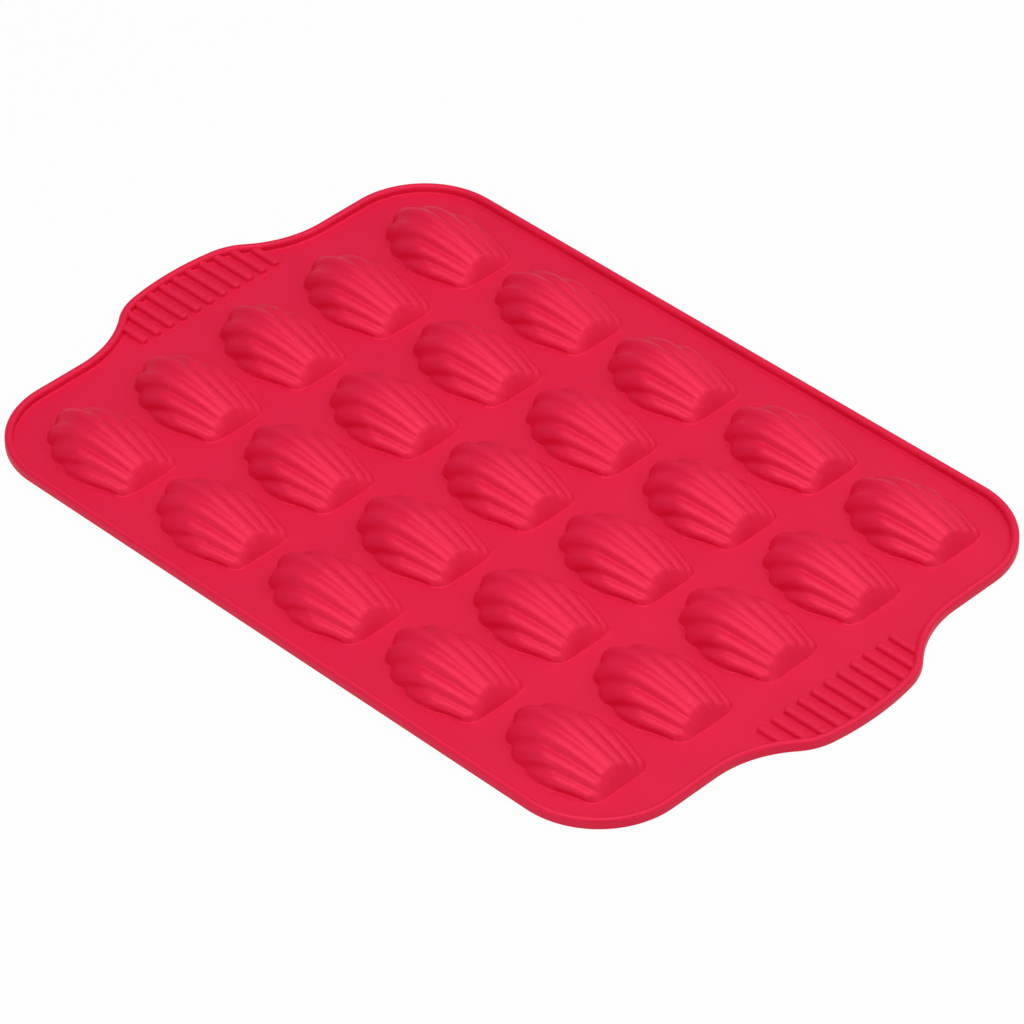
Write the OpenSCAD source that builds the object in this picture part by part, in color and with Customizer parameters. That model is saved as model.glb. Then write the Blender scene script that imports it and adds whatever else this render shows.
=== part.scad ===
// Mini madeleine mould in flexible silicone, lying on its flat baking face with
// the ribbed shells standing up. X runs along the rows, from fan ends to flat ends,
// Z is up, and the origin is under the middle of the pan on the face it rests on.

/* [Cavity layout] */
// Rows of cavities across the pan
rows = 5; // [5:1:7]
// Cavities in each row
columns = 5; // [3:1:7]
// Distance between neighbouring cavities along a row
pitch_x = 54.5; // [51:0.5:62]
// Distance between neighbouring rows
pitch_y = 40; // [36:0.5:48]
// How far the block of cavities sits off the centre line, across the pan
array_shift = -1.6; // [-3:0.1:3]

/* [Body] */
// Centre of an outer cavity to the short edge of the body
border_x = 40.4; // [34:0.2:50]
// Centre of an outer cavity to the long edge of the body
border_y = 29.1; // [24:0.1:40]
// Radius of the body's corners
corner_r = 32.5; // [12:0.5:38]
// Thickness of the flat web between the cavities
web_t = 1; // [0.8:0.1:2]

/* [Rim] */
// Width of the rim bead
rim_w = 2.2; // [2:0.1:4]
// Height of the rim bead above the web
rim_rise = 2.2; // [1.4:0.1:5]
// Rounding of the rim's top edges
rim_round = 0.9; // [0.3:0.1:0.9]

/* [Handles] */
// How far each handle stands out from the short edge
handle_reach = 16.7; // [13:0.1:22]
// Half the width of a handle, where it leaves the short edge
handle_half = 57; // [46:1:66]
// Radius of a handle's long outer edge
handle_outer_r = 110; // [90:1:140]
// Radius of a handle's shoulders
handle_shoulder_r = 24; // [16:0.5:30]
// Radius of the hollow where a handle meets the body
handle_root_r = 42; // [34:0.5:56]

/* [Grip bars] */
// Raised bars on each handle
grip_bars = 11; // [5:1:11]
// Distance between neighbouring bars
grip_pitch = 6.25; // [5:0.05:7]
// Width of a bar
grip_w = 2.9; // [2:0.1:4]
// Height of a bar above the web
grip_rise = 0.8; // [0.5:0.1:2]
// Rounding of a bar's top edges
grip_round = 0.35; // [0.1:0.05:0.45]
// How far the bars reach in from the short edge of the body
grip_inset = 5.9; // [2:0.1:10]

/* [Shell cavity] */
// Length of a shell, from its flat end to the tip of its fan
shell_len = 47; // [42:0.5:50]
// Depth of a shell at its middle rib
shell_depth = 11.5; // [8:0.1:16]
// Width of a shell at its flat end
flat_w = 23.6; // [20:0.2:25]
// Width of a shell at its widest place
shell_w = 33.4; // [28:0.2:35]
// Distance between neighbouring ribs at the flat end
rib_start = 3.4; // [3:0.05:3.6]
// Distance between neighbouring ribs at the fan's tip
rib_end = 7.7; // [6.8:0.05:8]
// Slope of the flat end
flat_slope = 52; // [40:1:70]
// Wall of the shells
wall = 1; // [0.8:0.1:1.4]

/* [Hidden] */

silicone = [0.89, 0.15, 0.28];
silicone_web = [0.84, 0.13, 0.25];
$fn = 24;
arc_step = 5;

body_len = (columns - 1) * pitch_x + 2 * border_x;
body_w = (rows - 1) * pitch_y + 2 * border_y;
half_len = body_len / 2;
half_w = body_w / 2;

// The handle's edge is three arcs that run into each other: a long outer arc, a
// shoulder, and the hollow at the root. The shoulder's centre follows from the other two.
outer_c = [half_len + handle_reach - handle_outer_r, 0];
root_c = [half_len + handle_root_r, handle_half];
outer_to_root = root_c - outer_c;
outer_to_shoulder = handle_outer_r - handle_shoulder_r;
shoulder_to_root = handle_shoulder_r + handle_root_r;
shoulder_from = atan2(outer_to_root.y, outer_to_root.x)
    - triangle_angle(outer_to_shoulder, norm(outer_to_root), shoulder_to_root);
shoulder_c = outer_c + outer_to_shoulder * direction(shoulder_from);
shoulder_to = atan2(root_c.y - shoulder_c.y, root_c.x - shoulder_c.x);

// Each rib's crest, from the middle rib outward: where it ends on the fan, and its
// height at the flat end and at its highest place, as shares of the shell's size
crest_end = [1, 0.915, 0.76, 0.54];
crest_start_h = [0.4, 0.383, 0.313, 0.215];
crest_peak_h = [1, 0.85, 0.618, 0.348];
crest_peak_x = [0.55, 0.5, 0.41, 0.28];
// The same for the grooves between the ribs, from the middle outward
groove_end = [0.933, 0.804, 0.56];
groove_start_h = [0.365, 0.278, 0.2];
groove_peak_h = [0.86, 0.61, 0.335];
// Where the outer rib's tip and the outer end of its side lie on the shell
outer_tip_y = 0.93;
side_end = [0.37, 1];
fan_fullness = 1.9;
back_fullness = 2.3;
side_fullness = 1.3;

// Places along a rib, as shares of its length, for the outside and the inside
outer_stations = [0, 0.1, 0.32, 0.56, 0.78, 0.93, 1];
inner_stations = [0, 0.32, 0.6, 0.87, 1];
// Which outside station each inside station is joined to along the shell's sides
side_pairs = [0, 2, 3, 5, 6];
ribs_each_side = 3;
outer_steps = 4;
inner_steps = 2;

function cell_name(r, c) = str("cell_r", r, "_c", c);
function direction(a) = [cos(a), sin(a)];
function triangle_angle(a, b, opposite) = acos((a * a + b * b - opposite * opposite) / (2 * a * b));
function blend(a, b, share) = a + (b - a) * share;
function along(list, at) = blend(list[floor(at)], list[min(ceil(at), len(list) - 1)], at - floor(at));
function rest(list) = [for (i = [1:len(list) - 1]) list[i]];
function flipped(points) = [for (i = [len(points) - 1:-1:0]) [points[i].x, -points[i].y]];
function arc(centre, r, from, to) =
    let (steps = ceil(abs(to - from) / arc_step))
    [for (i = [0:steps]) centre + r * direction(blend(from, to, i / steps))];

// Edge of a handle from one end to the other, moved inward by an inset
function upper_handle_edge(inset) = concat(
    arc(outer_c, handle_outer_r - inset, 0, shoulder_from),
    rest(arc(shoulder_c, handle_shoulder_r - inset, shoulder_from, shoulder_to)),
    rest(arc(root_c, handle_root_r + inset, 180 + shoulder_to, 180))
);
function handle_edge(inset) =
    let (upper = upper_handle_edge(inset))
    concat(flipped(rest(upper)), upper);
// The same with the straight stretches of the short edge, up to the body's corners
function short_edge(inset) = concat(
    [[half_len - inset, corner_r - half_w]],
    handle_edge(inset),
    [[half_len - inset, half_w - corner_r]]
);

// A lane is a line along the shell: 0 is the middle rib's crest, whole numbers are
// crests, halves are grooves, and 3.5 is the shell's side.
function rib_pitch(x) = blend(rib_start, rib_end, x / shell_len);
function nearest_rib(lane) = min(round(lane), ribs_each_side);
function groove_share(lane) = pow(2 * abs(lane - nearest_rib(lane)), 2);
function side_turn(lane) = 180 * (lane - ribs_each_side);
function ribbed(crests, grooves, lane) =
    lane > ribs_each_side
        ? crests[ribs_each_side] * pow(cos(side_turn(lane)), side_fullness)
        : blend(crests[nearest_rib(lane)], grooves[min(floor(lane), ribs_each_side - 1)], groove_share(lane));
function groove_tip(i) =
    let (x = shell_len * groove_end[i])
    [x, (i + 0.5) * rib_pitch(x)];
function crest_tip(i) =
    let (x = shell_len * crest_end[i])
    [x, i < ribs_each_side ? i * rib_pitch(x) : outer_tip_y * shell_w / 2];
function side_tip() = [side_end.x * shell_len, side_end.y * shell_w / 2];
function lane_tip(lane) =
    lane > ribs_each_side
        ? let (a = side_turn(lane))
          [blend(crest_tip(ribs_each_side).x, side_tip().x, 1 - cos(a)),
           blend(crest_tip(ribs_each_side).y, side_tip().y, sin(a))]
        : let (i = nearest_rib(lane), g = min(floor(lane), ribs_each_side - 1), share = 2 * abs(lane - i))
          [blend(crest_tip(i).x, groove_tip(g).x, share * share),
           blend(crest_tip(i).y, groove_tip(g).y, share)];
function lane_start(lane) =
    let (h = shell_depth * ribbed(crest_start_h, groove_start_h, lane))
    [h / tan(flat_slope),
     lane > ribs_each_side
         ? blend(ribs_each_side * rib_start, flat_w / 2, sin(side_turn(lane)))
         : lane * rib_start,
     h];
function rib_height(x, start, peak_x, peak_h, end_x) =
    x > peak_x
        ? peak_h * pow(max(0, 1 - pow((x - peak_x) / (end_x - peak_x), fan_fullness)), 1 / fan_fullness)
        : peak_h - (peak_h - start.z) * pow((peak_x - x) / (peak_x - start.x), back_fullness);
function lane_point(lane, station) =
    let (
        a = abs(lane),
        start = lane_start(a),
        tip = lane_tip(a),
        x = blend(start.x, tip.x, station),
        y = blend(start.y, tip.y, station),
        peak_x = shell_len * along(crest_peak_x, min(a, ribs_each_side)),
        peak_h = shell_depth * ribbed(crest_peak_h, groove_peak_h, a)
    )
    [x, sign(lane) * y, rib_height(x, start, peak_x, peak_h, tip.x)];

// The inside is the same shell, drawn in by the wall on every side
function drawn_in(p) = [
    blend(wall, shell_len - wall, p.x / shell_len),
    p.y * (1 - 2 * wall / shell_w),
    p.z * (1 - wall / shell_depth)
];
lane_range = ribs_each_side + 0.5;
function lanes(steps) = [-lane_range:1 / steps:lane_range];
function outer_grid() = [for (lane = lanes(outer_steps), s = outer_stations) lane_point(lane, s)];
function inner_grid() = [for (lane = lanes(inner_steps), s = inner_stations) drawn_in(lane_point(lane, s))];

outer_rows = len(outer_stations);
inner_rows = len(inner_stations);
outer_lanes = 2 * lane_range * outer_steps;
inner_lanes = 2 * lane_range * inner_steps;
outer_count = (outer_lanes + 1) * outer_rows;
inner_count = (inner_lanes + 1) * inner_rows;

// Edge of the inside at the web, in order round the cavity's mouth
function mouth() =
    let (p = inner_grid(), last = inner_rows - 1)
    [for (q = concat(
        [for (j = [0:last]) p[j]],
        [for (i = [1:inner_lanes]) p[i * inner_rows + last]],
        [for (j = [last - 1:-1:0]) p[inner_lanes * inner_rows + j]]
    )) [q.x, q.y]];

// Triangles of a grid of lanes and stations, and of the flat end under its first station
function grid_faces(first, lane_count, row_count) = concat(
    [for (i = [0:lane_count - 1], j = [0:row_count - 2])
        let (a = first + i * row_count + j) [a, a + row_count, a + 1]],
    [for (i = [0:lane_count - 1], j = [0:row_count - 2])
        let (a = first + i * row_count + j) [a + 1, a + row_count, a + row_count + 1]]
);
function flat_faces(first, lane_count, row_count, middle) =
    [for (i = [0:lane_count - 1]) [first + (i + 1) * row_count, first + i * row_count, middle]];
// Triangles between two edges, where pairs says which outer point each inner point joins
function joined(outer, inner, pairs) = concat(
    [for (j = [0:len(pairs) - 2], i = [pairs[j]:pairs[j + 1] - 1]) [outer[i], outer[i + 1], inner[j]]],
    [for (j = [0:len(pairs) - 2]) [outer[pairs[j + 1]], inner[j + 1], inner[j]]]
);
function turned(faces) = [for (f = faces) [f[2], f[1], f[0]]];

module bead_profile(w, rise, r) {
    translate([-w / 2, 0])
        square([w, rise - r]);
    translate([r - w / 2, 0])
        square([w - 2 * r, rise]);
    for (side = [-1, 1])
        translate([side * (w / 2 - r), rise - r])
            circle(r);
}

// Outline of the rim's section, from its outer foot over the top to its inner foot
function rim_section() = concat(
    [[0, 0]],
    [for (a = [180, 135, 90]) [rim_round, rim_rise - rim_round] + rim_round * direction(a)],
    [for (a = [90, 45, 0]) [rim_w - rim_round, rim_rise - rim_round] + rim_round * direction(a)],
    [[rim_w, 0]]
);

module rim_profile() {
    bead_profile(rim_w, rim_rise, rim_round);
}

module rim_run(from, to) {
    run = to - from;
    translate([from.x, from.y, web_t])
        rotate([0, 0, atan2(run.y, run.x)])
            rotate([90, 0, 90])
                linear_extrude(norm(run))
                    rim_profile();
}

module rim_arc(centre, r, from, to) {
    translate([centre.x, centre.y, web_t])
        rotate([0, 0, from])
            rotate_extrude(angle = to - from, $fn = 180)
                translate([r, 0])
                    rim_profile();
}

module body_outline() {
    square([body_len, body_w - 2 * corner_r], center = true);
    square([body_len - 2 * corner_r, body_w], center = true);
    for (sx = [-1, 1], sy = [-1, 1])
        translate([sx * (half_len - corner_r), sy * (half_w - corner_r)])
            circle(corner_r, $fn = 180);
}

module at_cell(r, c) {
    translate([(c - (columns + 1) / 2) * pitch_x, (r - (rows + 1) / 2) * pitch_y + array_shift, web_t])
        rotate([0, 0, 180])
            translate([-shell_len / 2, 0, 0])
                children();
}

module web() {
    color(silicone_web)
        difference() {
            linear_extrude(web_t)
                body_outline();
            for (r = [1:rows], c = [1:columns])
                at_cell(r, c)
                    translate([0, 0, -2 * web_t])
                        linear_extrude(3 * web_t)
                            polygon(mouth());
        }
}

module right_handle() {
    color(silicone_web)
        linear_extrude(web_t)
            polygon(handle_edge(0));
}

module left_handle() {
    mirror([1, 0, 0])
        right_handle();
}

module far_rim() {
    run_x = half_len - corner_r;
    run_y = half_w - rim_w / 2;
    color(silicone) {
        rim_run([-run_x, run_y], [run_x, run_y]);
        for (side = [0, 1])
            mirror([side, 0, 0])
                rim_arc([run_x, half_w - corner_r], corner_r - rim_w / 2, 0, 90);
    }
}

module near_rim() {
    mirror([0, 1, 0])
        far_rim();
}

// A rim section swept along the short edge: each station is a ring of the profile's
// points, laid between the edge's outer and inner line
module right_rim() {
    outer_line = short_edge(0);
    inner_line = short_edge(rim_w);
    section = rim_section();
    ring = len(section);
    last = (len(outer_line) - 1) * ring;
    points = [
        for (i = [0:len(outer_line) - 1], q = section)
            let (p = blend(outer_line[i], inner_line[i], q.x / rim_w))
            [p.x, p.y, web_t + q.y]
    ];
    sides = [
        for (i = [0:len(outer_line) - 2], j = [0:ring - 1])
            let (a = i * ring + j, b = i * ring + (j + 1) % ring)
            each [[a, b, a + ring], [b, b + ring, a + ring]]
    ];
    ends = [
        [for (j = [ring - 1:-1:0]) j],
        [for (j = [0:ring - 1]) last + j]
    ];
    color(silicone)
        polyhedron(points, concat(sides, ends));
}

module left_rim() {
    mirror([1, 0, 0])
        right_rim();
}

module right_grip_bars() {
    start_x = half_len - grip_inset;
    color(silicone)
        intersection() {
            for (i = [0:grip_bars - 1])
                translate([start_x, (i - (grip_bars - 1) / 2) * grip_pitch, web_t])
                    rotate([90, 0, 90])
                        linear_extrude(grip_inset + handle_reach)
                            bead_profile(grip_w, grip_rise, grip_round);
            linear_extrude(web_t + grip_rise)
                polygon(concat([[start_x, handle_half], [start_x, -handle_half]], handle_edge(rim_w)));
        }
}

module left_grip_bars() {
    mirror([1, 0, 0])
        right_grip_bars();
}

module shell() {
    outer_middle = outer_count + inner_count;
    inner_middle = outer_middle + 1;
    last_o = outer_rows - 1;
    last_i = inner_rows - 1;
    fan_pairs = [for (i = [0:inner_lanes]) i * outer_steps / inner_steps];
    near_side_o = [for (j = [0:last_o]) j];
    near_side_i = [for (j = [0:last_i]) outer_count + j];
    far_side_o = [for (j = [0:last_o]) outer_lanes * outer_rows + j];
    far_side_i = [for (j = [0:last_i]) outer_count + inner_lanes * inner_rows + j];
    fan_o = [for (i = [0:outer_lanes]) i * outer_rows + last_o];
    fan_i = [for (i = [0:inner_lanes]) outer_count + i * inner_rows + last_i];
    flat_o = [near_side_o[0], outer_middle, far_side_o[0]];
    flat_i = [near_side_i[0], inner_middle, far_side_i[0]];
    polyhedron(
        points = concat(outer_grid(), inner_grid(), [[0, 0, 0], drawn_in([0, 0, 0])]),
        faces = concat(
            grid_faces(0, outer_lanes, outer_rows),
            flat_faces(0, outer_lanes, outer_rows, outer_middle),
            turned(grid_faces(outer_count, inner_lanes, inner_rows)),
            turned(flat_faces(outer_count, inner_lanes, inner_rows, inner_middle)),
            joined(fan_o, fan_i, fan_pairs),
            joined(near_side_o, near_side_i, side_pairs),
            turned(joined(far_side_o, far_side_i, side_pairs)),
            turned(joined(flat_o, flat_i, [0, 1, 2]))
        )
    );
}

module cell(r, c) {
    color(silicone)
        at_cell(r, c)
            shell();
}

web();
left_handle();
right_handle();
near_rim();
far_rim();
left_rim();
right_rim();
left_grip_bars();
right_grip_bars();
for (r = [1:rows], c = [1:columns])
    cell(r, c);
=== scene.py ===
"""Mini madeleine mould in red silicone, lying on its baking face with its 25 ribbed shells up.

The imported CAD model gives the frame. The pieces here are the smooth, soft-edged forms of the
same mould: a flat sheet with a hole for each cavity, the bead round its edge, five rows of
hollow shells, and the grip bars on both handles. All sizes below are in millimetres.
"""

import math

import bpy
import numpy as np
from mathutils import Matrix, Vector
from mathutils.geometry import delaunay_2d_cdt


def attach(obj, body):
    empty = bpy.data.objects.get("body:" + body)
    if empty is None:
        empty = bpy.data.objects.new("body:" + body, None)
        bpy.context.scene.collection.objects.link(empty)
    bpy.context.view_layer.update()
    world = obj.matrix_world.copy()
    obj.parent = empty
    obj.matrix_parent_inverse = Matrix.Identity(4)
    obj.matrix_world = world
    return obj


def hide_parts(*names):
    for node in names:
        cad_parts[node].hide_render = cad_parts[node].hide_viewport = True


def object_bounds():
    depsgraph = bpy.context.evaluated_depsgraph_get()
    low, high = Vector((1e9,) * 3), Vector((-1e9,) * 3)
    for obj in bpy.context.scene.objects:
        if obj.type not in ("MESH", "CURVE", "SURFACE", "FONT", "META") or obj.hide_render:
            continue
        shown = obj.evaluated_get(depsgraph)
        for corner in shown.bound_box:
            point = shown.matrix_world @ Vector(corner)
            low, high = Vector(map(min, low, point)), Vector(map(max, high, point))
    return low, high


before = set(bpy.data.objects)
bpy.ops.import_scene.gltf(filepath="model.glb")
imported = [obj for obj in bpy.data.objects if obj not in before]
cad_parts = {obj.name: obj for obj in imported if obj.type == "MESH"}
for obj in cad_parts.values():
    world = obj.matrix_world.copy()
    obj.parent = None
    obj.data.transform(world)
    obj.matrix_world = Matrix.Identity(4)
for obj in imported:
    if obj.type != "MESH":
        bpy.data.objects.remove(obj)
cad_low, cad_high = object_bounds()

MM = 0.001

# The flat sheet and its outline, as in the CAD source
BODY_LENGTH = 298.8
BODY_WIDTH = 218.2
CORNER_RADIUS = 32.5
SHEET = 1.0
HANDLE_REACH = 16.7
HANDLE_HALF = 57.0
HANDLE_OUTER_RADIUS = 110.0
HANDLE_SHOULDER_RADIUS = 24.0
HANDLE_ROOT_RADIUS = 42.0

# The bead round the edge
BEAD_WIDTH = 2.9
BEAD_RISE = 2.8
BEAD_ROUND = 1.4
BEAD_FILLET = 0.5
FOOT_ROUND = 0.35
# The sheet's edge lies this far inside the bead's outer face, and the bead's foot ends there
SHEET_INSET = 0.6
# Points of the bead's section: one on its outer wall, and one inside the sheet
BEAD_WALL_POINT = 1.4
BEAD_INNER_POINT = (1.2, 0.3)
BEAD_STEPS = 6
FOOT_STEPS = 4

# The cavities
ROWS = 5
COLUMNS = 5
PITCH_X = 54.5
PITCH_Y = 40.0
BLOCK_SHIFT = (-0.7, -1.1)
WALL = 1.0
SHELL_LENGTH = 47.0
SHELL_WIDTH = 33.4
SHELL_FOOT = 0.15
MOUTH_ROUND = 0.4
# The hole in the sheet lies at this share of the mouth's rounding
HOLE_SHARE = 0.8
FILLET_STEPS = 5
MOUTH_STEPS = 4
# The fillet is made for walls at least this steep, and evened round the foot
LEAST_TURN = math.radians(45)
TURN_PASSES = 12
OUT_PASSES = 4

# A fillet's edge runs on over the sheet by this much, and ends this far under its top
BEAD_TUCK = 0.4
SHELL_TUCK = 0.3
BAR_TUCK = 0.2
TUCK_DEPTH = 0.02

# The grip bars on each handle
BARS = 11
BAR_PITCH = 6.25
BAR_WIDTH = 3.2
BAR_RISE = 1.9
BAR_INSET = 5.7
BAR_FULLNESS = 2.8
BAR_FILLET = 0.25
BAR_NOSE = 1.2
BAR_UNIT = 7.0
BAR_STEPS = 8
# What lies past this place on the unit is its outer end. It is drawn out along X to the
# bead, at most this far, meets it at this height, and goes this far into it
BAR_OUTER_END = 6.0
BAR_LOOKS_OUT = 60.0
BAR_MEETS_BEAD = 2.0
BAR_IN_BEAD = 1.2

HALF_LENGTH = BODY_LENGTH / 2
HALF_WIDTH = BODY_WIDTH / 2


def direction(degrees):
    return np.array([math.cos(math.radians(degrees)), math.sin(math.radians(degrees))])


# Outline of the mould


def arc_run(centre, radius, start, end, step=1.2, hollow=False):
    """Points and outward directions along an arc, about step apart, without its last point."""
    count = max(2, math.ceil(abs(math.radians(end - start)) * radius / step))
    angles = [start + (end - start) * i / count for i in range(count)]
    sign = -1 if hollow else 1
    return [(np.array(centre) + radius * direction(a), sign * direction(a)) for a in angles]


def straight_run(start, end, step=4.0):
    """Points and outward directions along a straight edge with the mould on its left."""
    start, end = np.array(start), np.array(end)
    run = end - start
    length = np.linalg.norm(run)
    out = np.array([run[1], -run[0]]) / length
    count = max(2, math.ceil(length / step))
    return [(start + run * i / count, out) for i in range(count)]


def mould_outline():
    """The whole edge, anticlockwise, as points and outward directions."""
    outer_centre = np.array([HALF_LENGTH + HANDLE_REACH - HANDLE_OUTER_RADIUS, 0.0])
    root_centre = np.array([HALF_LENGTH + HANDLE_ROOT_RADIUS, HANDLE_HALF])
    between = root_centre - outer_centre
    long_side = HANDLE_OUTER_RADIUS - HANDLE_SHOULDER_RADIUS
    short_side = HANDLE_SHOULDER_RADIUS + HANDLE_ROOT_RADIUS
    reach = np.linalg.norm(between)
    corner = math.degrees(
        math.acos((long_side**2 + reach**2 - short_side**2) / (2 * long_side * reach))
    )
    shoulder_start = math.degrees(math.atan2(between[1], between[0])) - corner
    shoulder_centre = outer_centre + long_side * direction(shoulder_start)
    to_root = root_centre - shoulder_centre
    shoulder_end = math.degrees(math.atan2(to_root[1], to_root[0]))
    low = np.array([1, -1])
    straight_half = HALF_WIDTH - CORNER_RADIUS
    half = straight_run((HALF_LENGTH, -straight_half), (HALF_LENGTH, -HANDLE_HALF))
    half += arc_run(
        root_centre * low, HANDLE_ROOT_RADIUS, 180, 180 - shoulder_end, hollow=True
    )
    half += arc_run(
        shoulder_centre * low, HANDLE_SHOULDER_RADIUS, -shoulder_end, -shoulder_start
    )
    half += arc_run(outer_centre, HANDLE_OUTER_RADIUS, -shoulder_start, shoulder_start)
    half += arc_run(shoulder_centre, HANDLE_SHOULDER_RADIUS, shoulder_start, shoulder_end)
    half += arc_run(
        root_centre, HANDLE_ROOT_RADIUS, 180 + shoulder_end, 180, hollow=True
    )
    half += straight_run((HALF_LENGTH, HANDLE_HALF), (HALF_LENGTH, straight_half))
    run_x = HALF_LENGTH - CORNER_RADIUS
    half += arc_run((run_x, straight_half), CORNER_RADIUS, 0, 90)
    half += straight_run((run_x, HALF_WIDTH), (-run_x, HALF_WIDTH))
    half += arc_run((-run_x, straight_half), CORNER_RADIUS, 90, 180)
    # The other half of the edge is the same, turned by 180 degrees
    points = np.array([p for p, _ in half])
    out = np.array([n for _, n in half])
    return np.vstack([points, -points]), np.vstack([out, -out])


# Shape of one shell

# A low dome of seven ribs that fan out from a sloped flat end. The values below are for one
# half of it, from the middle outward, in the shell's own frame: X runs from the foot of the
# flat end to the tip of the middle rib.

# One groove to a row: where it ends on the fan, where it is highest, its height there and
# at the flat end, and how full its fan and its back are
GROOVES = np.array(
    [
        [43.6, 25.4, 9.58, 4.53, 1.9, 1.51],
        [37.8, 26.9, 6.55, 3.31, 1.28, 1.96],
        [27.9, 19.1, 3.48, 1.43, 1.15, 1.97],
    ]
)
GROOVE_SPACING = 3.52
FANNING = 42.2
LANE_BOW = 0.05
# One rib to a row: how far it stands out at the flat end, half way along and at its tip
RIBS = np.array(
    [
        [0.45, 1.91, 3.85],
        [0.2, 2.01, 3.19],
        [0.32, 2.04, 2.8],
        [0.56, 1.46, 2.08],
    ]
)
RIB_SQUARENESS = 2.92
# How late along a rib its outer groove comes down to the foot
TIP_POWER = 12
# The foot of the side, from the corner at the flat end to the outer rib's tip
FLAT_HALF = 12.19
SIDE_END = (15.94, 17.22)
SIDE_BOW = -0.47
# The flat end: its slope at the foot and some way in, and past a point far steeper, so that
# it doesn't cut the ribs there
FLAT_FOOT_SLOPE = math.tan(math.radians(58.4))
FLAT_TOP_SLOPE = math.tan(math.radians(57.3))
FLAT_RUN = 4.0
FLAT_BEND = (FLAT_FOOT_SLOPE - FLAT_TOP_SLOPE) / (2 * FLAT_RUN)
FLAT_PAST = 3.5
FLAT_PAST_SLOPE = 3
# Its edge with the ribs is this soft at most, and harder near the foot
FLAT_EDGE = 2.52
FOOT_EDGE = 0.1
EDGE_GROWTH = 1.5
CORNER_CUT = 3.65
# How soon the lanes leave the straight foot of the flat end
START_POWER = 5

STRIP_STEPS = 16
STATIONS = 44
SOFT_PASSES = 5


def groove_line(number, shares):
    """Points along groove 1, 2 or 3, from the foot of the flat end to its end on the fan."""
    end_x, peak_x, peak, at_flat, fan, back = GROOVES[number - 1]
    start_y = GROOVE_SPACING * (number - 0.5)
    end_y = start_y * (1 + end_x / FANNING)
    x = end_x * shares
    y = start_y + (end_y - start_y) * shares + LANE_BOW * end_y * shares * (1 - shares)
    ahead = np.clip((x - peak_x) / (end_x - peak_x), 0, 1)
    behind = np.clip((peak_x - x) / peak_x, 0, 1)
    z = np.where(
        x >= peak_x,
        peak * (1 - ahead**fan) ** (1 / fan),
        peak - (peak - at_flat) * behind**back,
    )
    return np.stack([x, y, z], 1)


def side_line(shares):
    """Points along the foot of the side."""
    x = SIDE_END[0] * shares
    y = FLAT_HALF + (SIDE_END[1] - FLAT_HALF) * shares
    return np.stack([x, y + SIDE_BOW * 4 * shares * (1 - shares), 0 * x], 1)


def rib_strip(rib, shares, across):
    """Points over one rib from its inner to its outer groove. It bulges along its normal."""
    grooves = [groove_line(number, shares) for number in (1, 2, 3)]
    lines = [grooves[0] * [1, -1, 1], *grooves, side_line(shares)]
    run = lines[rib + 1] - lines[rib]
    strip = lines[rib] + run * across[:, None, None]
    normal = np.cross(np.gradient(strip, axis=1), run)
    normal /= np.linalg.norm(normal, axis=2)[..., None]
    at_flat, middle, at_tip = RIBS[rib]
    bulge = (
        at_flat * (1 - shares) * (1 - 2 * shares)
        + middle * 4 * shares * (1 - shares)
        + at_tip * shares * (2 * shares - 1)
    )
    section = 1 - np.abs(2 * across - 1) ** RIB_SQUARENESS
    strip += normal * (section[:, None] * bulge)[..., None]
    # The tip comes down to the foot
    strip[..., 2] = np.maximum(strip[..., 2] - strip[:, -1:, 2] * shares**TIP_POWER, 0)
    return strip


def flat_foot(y):
    """Where the foot of the flat end is at these distances from the middle: straight, with
    a rounded corner that runs into the foot of the side."""
    side_run = np.array([SIDE_END[0], SIDE_END[1] - FLAT_HALF])
    side_run = side_run / np.linalg.norm(side_run)
    t = np.clip((y - FLAT_HALF + CORNER_CUT) / CORNER_CUT, 0, 1)
    x = side_run[0] * CORNER_CUT * t**2
    past = (FLAT_HALF - CORNER_CUT) * (1 - t) ** 2 + FLAT_HALF * 2 * t * (1 - t)
    past += (FLAT_HALF + side_run[1] * CORNER_CUT) * t**2
    return np.stack([x, np.where(t > 0, past, y)], 1)


def shell_grid():
    """Grid of points over the outside of one shell: one lane to a row, across all ribs, and
    one station along the lanes to a column."""
    shares = (1 - np.cos(np.pi * np.arange(STATIONS + 1) / STATIONS)) / 2
    across = np.arange(STRIP_STEPS + 1) / STRIP_STEPS
    middle = rib_strip(0, shares, across[STRIP_STEPS // 2 :])
    half = np.concatenate([middle] + [rib_strip(k, shares, across[1:]) for k in (1, 2, 3)])
    start = flat_foot(half[:, 0, 1])
    hold = (1 - shares) ** START_POWER
    half[..., :2] += (start - half[:, 0, :2])[:, None] * hold[:, None]
    # The flat end cuts the ribs, with a soft edge
    way_in = half[..., 0] - start[:, :1]
    bent = np.minimum(way_in, FLAT_FOOT_SLOPE / (2 * FLAT_BEND))
    slope = FLAT_FOOT_SLOPE * bent - FLAT_BEND * bent**2
    slope += FLAT_PAST_SLOPE * np.maximum(way_in - FLAT_PAST, 0)
    z = half[..., 2]
    edge = np.minimum(FLAT_EDGE, FOOT_EDGE + EDGE_GROWTH * z)
    mix = np.clip(0.5 + 0.5 * (slope - z) / edge, 0, 1)
    half[..., 2] = np.maximum(slope * (1 - mix) + z * mix - edge * mix * (1 - mix), 0)
    grid = np.concatenate([half[:0:-1] * [1, -1, 1], half])
    # Neighbouring lanes are evened out, which rounds the grooves
    for _ in range(SOFT_PASSES):
        grid[1:-1] = (grid[:-2] + 2 * grid[1:-1] + grid[2:]) / 4
    return grid


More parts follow.
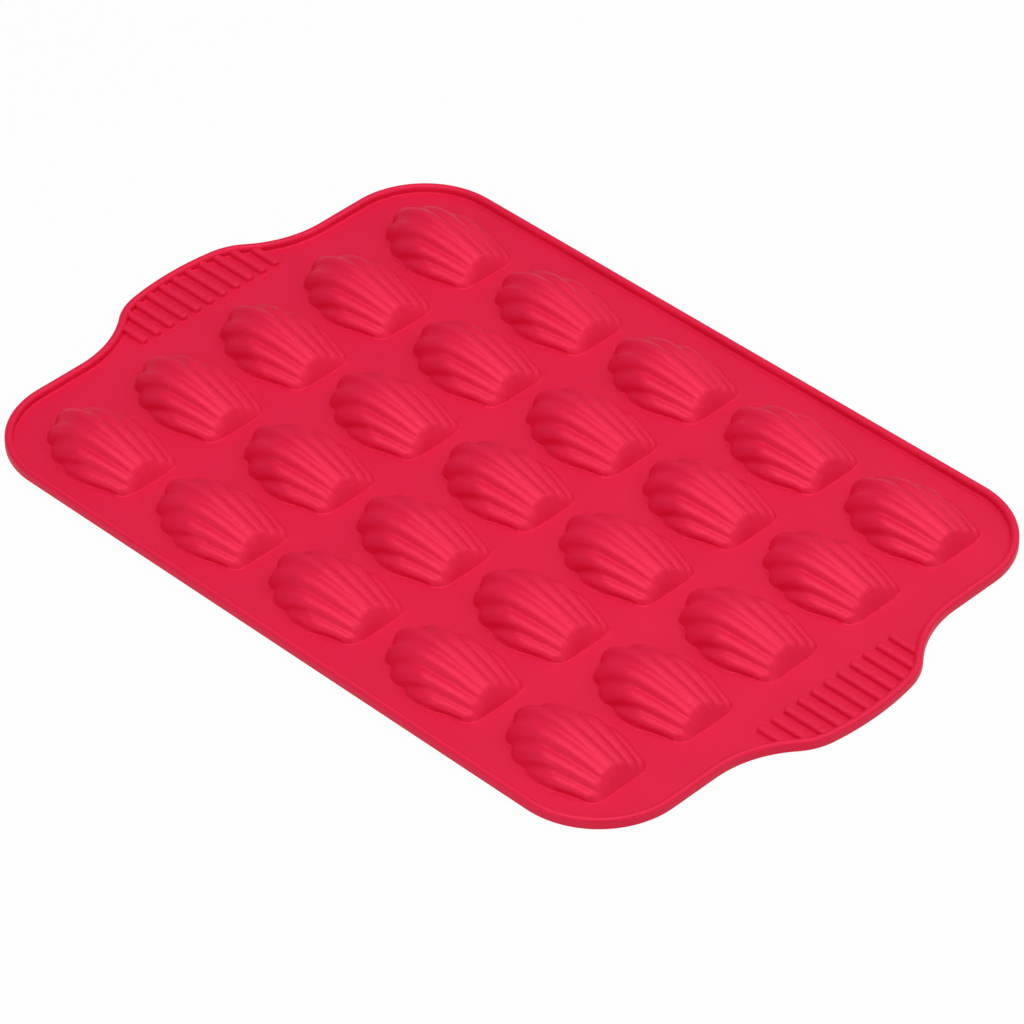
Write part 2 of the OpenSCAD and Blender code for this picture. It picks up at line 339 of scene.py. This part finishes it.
def loop_of(rows, columns):
    """Numbers of the grid's border points in order round the shell, and of the points next
    to them further in."""
    side_a = [(j, j + columns) for j in range(columns)]
    fan = [(i * columns + columns - 1, i * columns + columns - 2) for i in range(1, rows)]
    last = (rows - 1) * columns
    side_b = [(last + j, last + j - columns) for j in range(columns - 2, -1, -1)]
    flat = [(i * columns, i * columns + 1) for i in range(rows - 2, 0, -1)]
    loop = np.array(side_a + fan + side_b + flat)
    return loop[:, 0], loop[:, 1]


def evened(values, passes):
    """Values round a closed loop, evened out between neighbours."""
    for _ in range(passes):
        values = (np.roll(values, 1, 0) + 2 * values + np.roll(values, -1, 0)) / 4
    return values


def outward(loop):
    """Outward directions in plan round a closed anticlockwise loop, softened a little."""
    run = np.roll(loop, -1, 0) - np.roll(loop, 1, 0)
    out = evened(np.stack([run[:, 1], -run[:, 0]], 1), OUT_PASSES)
    return out / np.linalg.norm(out, axis=1)[:, None]


def shell_unit():
    """One hollow shell as points and faces: its outside with a fillet at the foot, its
    inside, and the rounded mouth on the baking face. Heights start at the baking face."""
    shell = shell_grid()
    rows, columns = shell.shape[:2]
    plain = shell.reshape(-1, 3)
    loop, further_in = loop_of(rows, columns)
    top = cad_high.z / MM - SHEET
    peak = plain[:, 2].max()
    length = plain[:, 0].max()
    outside = plain * [1, 1, (top - SHELL_FOOT) / peak] + [0, 0, SHEET + SHELL_FOOT]
    inside = plain * [
        (length - 2 * WALL) / length,
        1 - 2 * WALL / SHELL_WIDTH,
        (top - WALL) / peak,
    ]
    inside += [WALL, 0, SHEET]
    points = [outside, inside]
    faces = []
    for i in range(rows - 1):
        for j in range(columns - 1):
            a = i * columns + j
            faces.append((a, a + 1, a + columns + 1, a + columns))
            b = a + rows * columns
            faces.append((b, b + columns, b + columns + 1, b + 1))
    count = len(loop)
    grid = rows * columns

    def add_rings(base, first, rings):
        """Rings of points at (way out, height) from a loop of points, joined one by one."""
        out = outward(base[:, :2])
        before = first
        start = sum(len(p) for p in points)
        for offset, height in rings:
            ring = np.column_stack([base[:, :2] + out * np.reshape(offset, (-1, 1)), height])
            points.append(ring)
            here = list(range(start, start + count))
            for i in range(count):
                k = (i + 1) % count
                faces.append((before[i], before[k], here[k], here[i]))
            before = here
            start += count
        return before

    edge = outside[loop]
    # The fillet starts at one height all round, so it is wider where the wall slopes
    step = outside[further_in] - edge
    turn = np.arctan2(step[:, 2], np.linalg.norm(step[:, :2], axis=1))
    turn = evened(np.clip(turn, LEAST_TURN, math.pi / 2), TURN_PASSES)
    radius = SHELL_FOOT / (1 - np.cos(turn))
    rings = []
    for k in range(1, FILLET_STEPS + 1):
        left = turn * (1 - k / FILLET_STEPS)
        offset = radius * (np.sin(turn) - np.sin(left))
        rings.append((offset, SHEET + radius * (1 - np.cos(left))))
    rings.append((rings[-1][0] + SHELL_TUCK, np.full(count, SHEET - TUCK_DEPTH)))
    foot_end = add_rings(edge, list(loop), rings)
    mouth = inside[loop]
    inner_loop = list(grid + loop)
    rings = [(np.zeros(count), np.full(count, MOUTH_ROUND))]
    for k in range(1, MOUTH_STEPS + 1):
        left = math.pi / 2 * k / MOUTH_STEPS
        rings.append(
            (
                np.full(count, MOUTH_ROUND * (1 - math.cos(left))),
                np.full(count, MOUTH_ROUND * (1 - math.sin(left))),
            )
        )
    before_mouth = len(faces)
    mouth_end = add_rings(mouth, inner_loop, rings)
    faces[before_mouth:] = [f[::-1] for f in faces[before_mouth:]]
    for i in range(count):
        k = (i + 1) % count
        faces.append((foot_end[i], foot_end[k], mouth_end[k], mouth_end[i]))
    hole = mouth[:, :2] + outward(mouth[:, :2]) * MOUTH_ROUND * HOLE_SHARE
    return np.concatenate(points), faces, hole


def shell_place(row, column):
    """Middle of a cavity on the baking face."""
    return (
        (column - (COLUMNS + 1) / 2) * PITCH_X + BLOCK_SHIFT[0],
        (row - (ROWS + 1) / 2) * PITCH_Y + BLOCK_SHIFT[1],
    )


# Making meshes


def make_piece(name, points, faces, material=None, sharp=60):
    """A smooth-shaded mesh object from points in millimetres."""
    mesh = bpy.data.meshes.new(name)
    mesh.from_pydata((np.asarray(points) * MM).tolist(), [], [tuple(f) for f in faces])
    mesh.validate()
    mesh.shade_smooth()
    mesh.set_sharp_from_angle(angle=math.radians(sharp))
    piece = bpy.data.objects.new(name, mesh)
    bpy.context.scene.collection.objects.link(piece)
    if material:
        mesh.materials.append(material)
    return piece


def add_node(tree, kind, inputs=None, **settings):
    """Adds a node, sets its settings, and gives its inputs a value or a link."""
    node = tree.nodes.new(kind)
    for name, value in settings.items():
        setattr(node, name, value)
    for key, value in (inputs or {}).items():
        if isinstance(value, bpy.types.NodeSocket):
            tree.links.new(value, node.inputs[key])
        else:
            node.inputs[key].default_value = value
    return node


def combine(tree, operation, first, second):
    """Result of a sum, product or comparison of two values or sockets."""
    node = add_node(tree, "ShaderNodeMath", {0: first, 1: second}, operation=operation)
    return node.outputs[0]


def linear(hex_colour):
    """Linear colour of an sRGB hex value."""
    parts = [int(hex_colour[i : i + 2], 16) / 255 for i in (1, 3, 5)]
    return tuple(
        c / 12.92 if c <= 0.04045 else ((c + 0.055) / 1.055) ** 2.4 for c in parts
    ) + (1.0,)


# Materials


# Sizes in the skin in millimetres, and how much its gloss changes from cloud to cloud
CLOUD = 30.0
GRAIN = 0.8
GLOSS_SPREAD = 0.04


def moulded_silicone(name, roughness, grain_depth):
    """Platinum-cured silicone rubber, pigmented red through and pressed in a steel mould.
    A satin skin with a soft, wide highlight, a cloudy change of gloss a few centimetres
    across where the mould was hotter, and the fine even grain of the blasted steel."""
    material = bpy.data.materials.new(name)
    material.use_nodes = True
    tree = material.node_tree
    tree.nodes.clear()
    place = add_node(tree, "ShaderNodeTexCoord").outputs["Object"]
    # Clouds in the gloss and a little in the pigment
    clouds = add_node(
        tree,
        "ShaderNodeTexNoise",
        {"Vector": place, "Scale": 1 / (CLOUD * MM), "Detail": 3.0, "Roughness": 0.5},
    )
    gloss = add_node(
        tree,
        "ShaderNodeMapRange",
        {
            "Value": clouds.outputs["Fac"],
            "From Min": 0.3,
            "From Max": 0.7,
            "To Min": roughness - GLOSS_SPREAD,
            "To Max": roughness + GLOSS_SPREAD,
        },
    )
    pigment = add_node(
        tree,
        "ShaderNodeMix",
        {
            "Factor": clouds.outputs["Fac"],
            "A": linear("#E01643"),
            "B": linear("#E41945"),
        },
        data_type="RGBA",
    )
    grit = add_node(
        tree,
        "ShaderNodeTexNoise",
        {"Vector": place, "Scale": 1 / (GRAIN * MM), "Detail": 2.0, "Roughness": 0.6},
    )
    skin = add_node(
        tree,
        "ShaderNodeBump",
        {"Height": grit.outputs["Fac"], "Distance": grain_depth * MM, "Strength": 1.0},
    )
    shader = add_node(
        tree,
        "ShaderNodeBsdfPrincipled",
        {
            "Base Color": pigment.outputs["Result"],
            "Roughness": gloss.outputs["Result"],
            "IOR": 1.41,
            "Specular IOR Level": 0.32,
            # The rubber's own highlight is red too, which this share gives
            "Metallic": 0.17,
            "Normal": skin.outputs["Normal"],
        },
    )
    add_node(tree, "ShaderNodeOutputMaterial", {"Surface": shader.outputs["BSDF"]})
    return material


satin_sheet = moulded_silicone("satin_pressed_silicone_sheet", 0.45, 0.012)
satin_shell = moulded_silicone("satin_pressed_silicone_shell", 0.51, 0.008)
satin_bead = moulded_silicone("satin_pressed_silicone_bead", 0.54, 0.008)
satin_bar = moulded_silicone("satin_pressed_silicone_bar", 0.6, 0.008)


# The bead round the edge


def round_corner(centre, radius, start, end, steps):
    return [
        np.array(centre) + radius * direction(start + (end - start) * i / steps)
        for i in range(steps + 1)
    ]


def bead_section():
    """Outline of the bead across the edge, as (way in, height): up the outside, over the
    rounded top, down to the fillet on the sheet, and back inside the sheet."""
    shoulder = SHEET + BEAD_RISE - BEAD_ROUND
    fillet = BEAD_WIDTH + BEAD_FILLET
    return (
        [np.array([SHEET_INSET, 0.0])]
        + round_corner((FOOT_ROUND, FOOT_ROUND), FOOT_ROUND, 270, 180, FOOT_STEPS)
        + [np.array([0.0, BEAD_WALL_POINT])]
        + round_corner((BEAD_ROUND, shoulder), BEAD_ROUND, 180, 90, BEAD_STEPS)
        + round_corner((BEAD_WIDTH - BEAD_ROUND, shoulder), BEAD_ROUND, 90, 0, BEAD_STEPS)
        + round_corner((fillet, SHEET + BEAD_FILLET), BEAD_FILLET, 180, 270, BEAD_STEPS)
        + [np.array([fillet + BEAD_TUCK, SHEET - TUCK_DEPTH]), np.array(BEAD_INNER_POINT)]
    )


def make_bead(points, out):
    section = bead_section()
    ring = len(section)
    rows = []
    for p, n in zip(points, out):
        rows += [(*(p - n * way_in), height) for way_in, height in section]
    faces = []
    for i in range(len(points)):
        k = (i + 1) % len(points)
        for j in range(ring):
            m = (j + 1) % ring
            faces.append((i * ring + j, i * ring + m, k * ring + m, k * ring + j))
    return make_piece("bead_round_the_edge", rows, faces, satin_bead)


# The sheet


def make_sheet(points, out, hole):
    """The flat sheet with one hole for each cavity, hidden in the bead at its edge."""
    edge = points - out * SHEET_INSET
    loops = [edge]
    for row in range(1, ROWS + 1):
        for column in range(1, COLUMNS + 1):
            place = np.array(shell_place(row, column))
            loops.append(place - (hole - [SHELL_LENGTH / 2, 0]))
    flat = np.concatenate(loops)
    lines, start = [], 0
    for loop in loops:
        lines += [(start + i, start + (i + 1) % len(loop)) for i in range(len(loop))]
        start += len(loop)
    vertices, _, fill, _, _, _ = delaunay_2d_cdt(
        [Vector(p) for p in flat], lines, [], 2, 1e-6
    )
    vertices = np.array([[v.x, v.y] for v in vertices])

    def inside_loop(p, loop):
        a, b = loop, np.roll(loop, -1, 0)
        crosses = (a[:, 1] > p[1]) != (b[:, 1] > p[1])
        with np.errstate(divide="ignore", invalid="ignore"):
            x = a[:, 0] + (p[1] - a[:, 1]) / (b[:, 1] - a[:, 1]) * (b[:, 0] - a[:, 0])
        return bool(np.count_nonzero(crosses & (x > p[0])) % 2)

    kept = []
    for face in fill:
        middle = vertices[list(face)].mean(0)
        if inside_loop(middle, edge) and not any(inside_loop(middle, h) for h in loops[1:]):
            kept.append(tuple(face))
    count = len(vertices)
    top = np.column_stack([vertices, np.full(count, SHEET)])
    bottom = np.column_stack([vertices, np.zeros(count)])
    faces = kept + [tuple(i + count for i in reversed(f)) for f in kept]
    # A side that only one face has is on the border or round a hole, and gets a wall
    sides = [side for face in kept for side in zip(face, face[1:] + face[:1])]
    known = set(sides)
    for a, b in sides:
        if (b, a) not in known:
            faces.append((b, a, a + count, b + count))
    return make_piece("flat_sheet", np.concatenate([top, bottom]), faces, satin_sheet, 40)


# The rows of shells


def tree_with(name, sockets):
    """A Geometry Nodes tree with these inputs, and the sockets that give their values."""
    tree = bpy.data.node_groups.new(name, "GeometryNodeTree")
    tree.interface.new_socket("Geometry", in_out="INPUT", socket_type="NodeSocketGeometry")
    for label, kind in sockets:
        tree.interface.new_socket(label, in_out="INPUT", socket_type="NodeSocket" + kind)
    tree.interface.new_socket("Geometry", in_out="OUTPUT", socket_type="NodeSocketGeometry")
    return tree, add_node(tree, "NodeGroupInput").outputs


def baked(name, tree, values):
    """The mesh that a tree makes with these values, as a piece of its own."""
    holder = bpy.data.objects.new(name, bpy.data.meshes.new(name))
    bpy.context.scene.collection.objects.link(holder)
    modifier = holder.modifiers.new(name, "NODES")
    modifier.node_group = tree
    for item in tree.interface.items_tree:
        if item.in_out == "INPUT" and item.name in values:
            modifier[item.identifier] = values[item.name]
    depsgraph = bpy.context.evaluated_depsgraph_get()
    mesh = bpy.data.meshes.new_from_object(
        holder.evaluated_get(depsgraph), preserve_all_data_layers=True, depsgraph=depsgraph
    )
    holder.modifiers.clear()
    holder.data = mesh
    mesh.name = name
    return holder


def row_tree():
    """A row of shells: one shell set down again and again along X."""
    tree, given = tree_with(
        "row_of_shells",
        [
            ("Shell", "Object"),
            ("Count", "Int"),
            ("Pitch", "Float"),
            ("First shell", "Vector"),
            ("Material", "Material"),
        ],
    )
    shell = add_node(tree, "GeometryNodeObjectInfo", {"Object": given["Shell"]})
    step = add_node(tree, "ShaderNodeCombineXYZ", {"X": given["Pitch"]})
    line = add_node(
        tree,
        "GeometryNodeMeshLine",
        {
            "Count": given["Count"],
            "Start Location": given["First shell"],
            "Offset": step.outputs[0],
        },
        mode="OFFSET",
    )
    placed = add_node(
        tree,
        "GeometryNodeInstanceOnPoints",
        {"Points": line.outputs["Mesh"], "Instance": shell.outputs["Geometry"]},
    )
    real = add_node(
        tree, "GeometryNodeRealizeInstances", {"Geometry": placed.outputs["Instances"]}
    )
    finished = add_node(
        tree,
        "GeometryNodeSetMaterial",
        {"Geometry": real.outputs["Geometry"], "Material": given["Material"]},
    )
    add_node(tree, "NodeGroupOutput", {"Geometry": finished.outputs["Geometry"]})
    return tree


def make_rows(points, faces):
    points = points.copy()
    points[:, :2] = -(points[:, :2] - [SHELL_LENGTH / 2, 0])
    unit = make_piece("shell_unit", points, faces)
    tree = row_tree()
    rows = []
    for row in range(1, ROWS + 1):
        piece = baked(
            f"shell_row_{row}",
            tree,
            {
                "Shell": unit,
                "Count": COLUMNS,
                "Pitch": PITCH_X * MM,
                "First shell": [v * MM for v in shell_place(row, 1)] + [0.0],
                "Material": satin_shell,
            },
        )
        rows.append(piece)
    bpy.data.objects.remove(unit)
    return rows


# The grip bars


def bar_unit():
    """One grip bar from its inner end at x 0 to BAR_UNIT: a domed top, a round inner end and
    a small fillet on the sheet. Its outer end is drawn out to the bead afterwards."""
    half = BAR_WIDTH / 2
    power = 2 / BAR_FULLNESS
    side = [
        np.array([half + BAR_FILLET + BAR_TUCK, SHEET - TUCK_DEPTH]),
        *round_corner(
            (half + BAR_FILLET, SHEET + BAR_FILLET), BAR_FILLET, 270, 190, FOOT_STEPS
        ),
    ]
    for angle in np.radians(np.linspace(14, 84, BAR_STEPS + 1)):
        side.append(
            (half * math.cos(angle) ** power, SHEET + BAR_RISE * math.sin(angle) ** power)
        )
    # The inner end is the same section turned round a point on the bar's middle line
    out = []
    for y, z in side:
        arc = [
            (BAR_NOSE * (1 - y / half * math.sin(a)), y * math.cos(a), z)
            for a in np.linspace(0, math.pi / 2, BAR_STEPS + 1)
        ]
        other = [(x, -yy, z) for x, yy, z in reversed(arc[:-1])]
        out.append([(BAR_UNIT, y, z)] + arc + other + [(BAR_UNIT, -y, z)])
    points = [p for ring in out for p in ring]
    width = len(out[0])
    faces = []
    for i in range(len(out) - 1):
        for j in range(width - 1):
            a = i * width + j
            faces.append((a, a + 1, a + width + 1, a + width))
    last = (len(out) - 1) * width
    faces.append(tuple(last + j for j in range(width)))
    return points, faces


def bars_tree():
    """The bars on one handle: one bar set down along Y, and its outer end drawn out until
    it is inside the bead."""
    tree, given = tree_with(
        "grip_bars",
        [
            ("Bar", "Object"),
            ("Bead", "Object"),
            ("Count", "Int"),
            ("Pitch", "Float"),
            ("Inner end", "Float"),
            ("Bury", "Float"),
            ("Turn", "Float"),
            ("Material", "Material"),
        ],
    )
    bar = add_node(tree, "GeometryNodeObjectInfo", {"Object": given["Bar"]})
    bead = add_node(tree, "GeometryNodeObjectInfo", {"Object": given["Bead"]})
    half = combine(tree, "MULTIPLY", combine(tree, "ADD", given["Count"], -1.0), -0.5)
    start_y = combine(tree, "MULTIPLY", half, given["Pitch"])
    start = add_node(tree, "ShaderNodeCombineXYZ", {"X": given["Inner end"], "Y": start_y})
    step = add_node(tree, "ShaderNodeCombineXYZ", {"Y": given["Pitch"]})
    line = add_node(
        tree,
        "GeometryNodeMeshLine",
        {
            "Count": given["Count"],
            "Start Location": start.outputs[0],
            "Offset": step.outputs[0],
        },
        mode="OFFSET",
    )
    placed = add_node(
        tree,
        "GeometryNodeInstanceOnPoints",
        {"Points": line.outputs["Mesh"], "Instance": bar.outputs["Geometry"]},
    )
    real = add_node(
        tree, "GeometryNodeRealizeInstances", {"Geometry": placed.outputs["Instances"]}
    )
    place = add_node(tree, "GeometryNodeInputPosition")
    parts = add_node(tree, "ShaderNodeSeparateXYZ", {0: place.outputs[0]})
    outer = combine(tree, "ADD", given["Inner end"], BAR_OUTER_END * MM)
    is_outer = combine(tree, "GREATER_THAN", parts.outputs["X"], outer)
    # The bead is met at one height, so that the whole end section goes in upright
    eye = add_node(
        tree,
        "ShaderNodeCombineXYZ",
        {"X": parts.outputs["X"], "Y": parts.outputs["Y"], "Z": BAR_MEETS_BEAD * MM},
    )
    hit = add_node(
        tree,
        "GeometryNodeRaycast",
        {
            "Target Geometry": bead.outputs["Geometry"],
            "Source Position": eye.outputs[0],
            "Ray Direction": (1.0, 0.0, 0.0),
            "Ray Length": BAR_LOOKS_OUT * MM,
        },
    )
    met = add_node(tree, "ShaderNodeSeparateXYZ", {0: hit.outputs["Hit Position"]})
    deep = combine(tree, "ADD", met.outputs["X"], given["Bury"])
    drawn = add_node(
        tree,
        "ShaderNodeCombineXYZ",
        {"X": deep, "Y": parts.outputs["Y"], "Z": parts.outputs["Z"]},
    )
    reached = add_node(
        tree,
        "GeometryNodeSetPosition",
        {
            "Geometry": real.outputs["Geometry"],
            "Selection": is_outer,
            "Position": drawn.outputs[0],
        },
    )
    turn = add_node(tree, "ShaderNodeCombineXYZ", {"Z": given["Turn"]})
    turned = add_node(
        tree,
        "GeometryNodeTransform",
        {"Geometry": reached.outputs["Geometry"], "Rotation": turn.outputs[0]},
    )
    finished = add_node(
        tree,
        "GeometryNodeSetMaterial",
        {"Geometry": turned.outputs["Geometry"], "Material": given["Material"]},
    )
    add_node(tree, "NodeGroupOutput", {"Geometry": finished.outputs["Geometry"]})
    return tree


def make_bars(bead):
    unit = make_piece("bar_unit", *bar_unit(), sharp=50)
    tree = bars_tree()
    bars = []
    for name, turn in (("right_bars", 0.0), ("left_bars", math.pi)):
        piece = baked(
            name,
            tree,
            {
                "Bar": unit,
                "Bead": bead,
                "Count": BARS,
                "Pitch": BAR_PITCH * MM,
                "Inner end": (HALF_LENGTH - BAR_INSET) * MM,
                "Bury": BAR_IN_BEAD * MM,
                "Turn": turn,
                "Material": satin_bar,
            },
        )
        bars.append(piece)
    bpy.data.objects.remove(unit)
    return bars


outline, outline_out = mould_outline()
shell_points, shell_faces, hole_outline = shell_unit()
bead = make_bead(outline, outline_out)
sheet = make_sheet(outline, outline_out, hole_outline)
shell_rows = make_rows(shell_points, shell_faces)
right_bars, left_bars = make_bars(bead)

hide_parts("web", "left_handle", "right_handle")
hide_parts("near_rim", "far_rim", "left_rim", "right_rim")
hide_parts("right_grip_bars")
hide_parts("left_grip_bars")
for number, piece in enumerate(shell_rows, 1):
    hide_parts(*[f"cell_r{number}_c{c}" for c in range(1, COLUMNS + 1)])
for piece in [sheet, bead, right_bars, left_bars, *shell_rows]:
    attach(piece, "root")

# Floor, light and camera

FLOOR_HALF = 4000
FLOOR_HEIGHT = -0.02
FLOOR_GLOW = 0.94
ROOM_LEVEL = 0.25
# Soft boxes round the mould, sizes in metres: name, azimuth, elevation and power in watts
BOX_SIZE = 1.14
BOX_DISTANCE = 1.8
SOFT_BOXES = (
    ("box_above", 7, 84, 17.0),
    ("box_near_low", 0, 14, 6.8),
    ("box_right_low", 97, 23, 5.0),
    ("box_far_right", 159, 42, 4.9),
    ("box_far_high", 181, 57, 3.8),
    ("box_near_high", 348, 68, 2.6),
)

# Where the photograph was taken from: angles in degrees, lengths in millimetres
CAMERA_AZIMUTH = 44.99
CAMERA_ELEVATION = 39.29
CAMERA_ROLL = -0.509
CAMERA_TARGET = (11.28, -8.56, 1.0)
CAMERA_DISTANCE = 1873.0
FOCAL_LENGTH = 198.19
SENSOR_WIDTH = 36
# Nearest and farthest distance that the camera sees, in metres
CAMERA_CLIP = (0.05, 50)


def aim(azimuth, elevation):
    """Direction from the mould to a place round it. Azimuth 0 is on the near side, and 90
    on the right."""
    a, e = math.radians(azimuth), math.radians(elevation)
    return Vector((math.sin(a) * math.cos(e), -math.cos(a) * math.cos(e), math.sin(e)))


def make_floor():
    """A plain pale floor, white to the camera and in reflections. It keeps a faint shadow."""
    signs = ((-1, -1), (1, -1), (1, 1), (-1, 1))
    corners = [(x * FLOOR_HALF, y * FLOOR_HALF, FLOOR_HEIGHT) for x, y in signs]
    floor = make_piece("floor", corners, [(0, 1, 2, 3)])
    material = bpy.data.materials.new("white_paper_floor")
    material.use_nodes = True
    tree = material.node_tree
    tree.nodes.clear()
    paper = add_node(tree, "ShaderNodeBsdfDiffuse", {"Color": linear("#E4E4E4")})
    glow = add_node(tree, "ShaderNodeEmission", {"Strength": 1.0})
    path = add_node(tree, "ShaderNodeLightPath")
    seen = combine(
        tree, "MAXIMUM", path.outputs["Is Camera Ray"], path.outputs["Is Glossy Ray"]
    )
    seen = combine(tree, "MAXIMUM", seen, path.outputs["Is Transmission Ray"])
    share = combine(tree, "MULTIPLY", seen, FLOOR_GLOW)
    both = add_node(
        tree, "ShaderNodeMixShader", {0: share, 1: paper.outputs[0], 2: glow.outputs[0]}
    )
    add_node(tree, "ShaderNodeOutputMaterial", {"Surface": both.outputs[0]})
    floor.data.materials.append(material)


def make_light():
    """A white room, one wide soft box above the mould, and five weaker ones round it. Two
    of them stand low on the camera's side, and light the near sides of the ribs."""
    world = bpy.data.worlds.new("white_room")
    bpy.context.scene.world = world
    world.use_nodes = True
    tree = world.node_tree
    tree.nodes.clear()
    path = add_node(tree, "ShaderNodeLightPath")
    strength = add_node(
        tree,
        "ShaderNodeMix",
        {"Factor": path.outputs["Is Camera Ray"], "A": ROOM_LEVEL, "B": 1.0},
    )
    room = add_node(
        tree,
        "ShaderNodeBackground",
        {"Color": (1, 1, 1, 1), "Strength": strength.outputs["Result"]},
    )
    add_node(tree, "ShaderNodeOutputWorld", {"Surface": room.outputs[0]})
    for name, azimuth, elevation, power in SOFT_BOXES:
        lamp = bpy.data.lights.new(name, "AREA")
        lamp.shape = "SQUARE"
        lamp.size = BOX_SIZE
        lamp.energy = power
        holder = bpy.data.objects.new(name, lamp)
        back = aim(azimuth, elevation)
        holder.location = back * BOX_DISTANCE
        holder.rotation_mode = "QUATERNION"
        holder.rotation_quaternion = (-back).to_track_quat("-Z", "Y")
        bpy.context.scene.collection.objects.link(holder)


def make_camera():
    """The photograph's camera: it stands off the near right corner and looks down."""
    back = aim(CAMERA_AZIMUTH, CAMERA_ELEVATION)
    r = math.radians(CAMERA_ROLL)
    right = (-back).cross(Vector((0, 0, 1))).normalized()
    up = right.cross(-back)
    right, up = (
        math.cos(r) * right + math.sin(r) * up,
        -math.sin(r) * right + math.cos(r) * up,
    )
    data = bpy.data.cameras.new("camera")
    data.sensor_width = SENSOR_WIDTH
    data.lens = FOCAL_LENGTH
    data.clip_start, data.clip_end = CAMERA_CLIP
    camera = bpy.data.objects.new("camera", data)
    turn = Matrix((right, up, back)).transposed().to_4x4()
    camera.matrix_world = (
        Matrix.Translation(Vector(CAMERA_TARGET) * MM + back * CAMERA_DISTANCE * MM) @ turn
    )
    bpy.context.scene.collection.objects.link(camera)
    bpy.context.scene.camera = camera


make_floor()
make_light()
make_camera()
bpy.context.scene.view_settings.view_transform = "Standard"
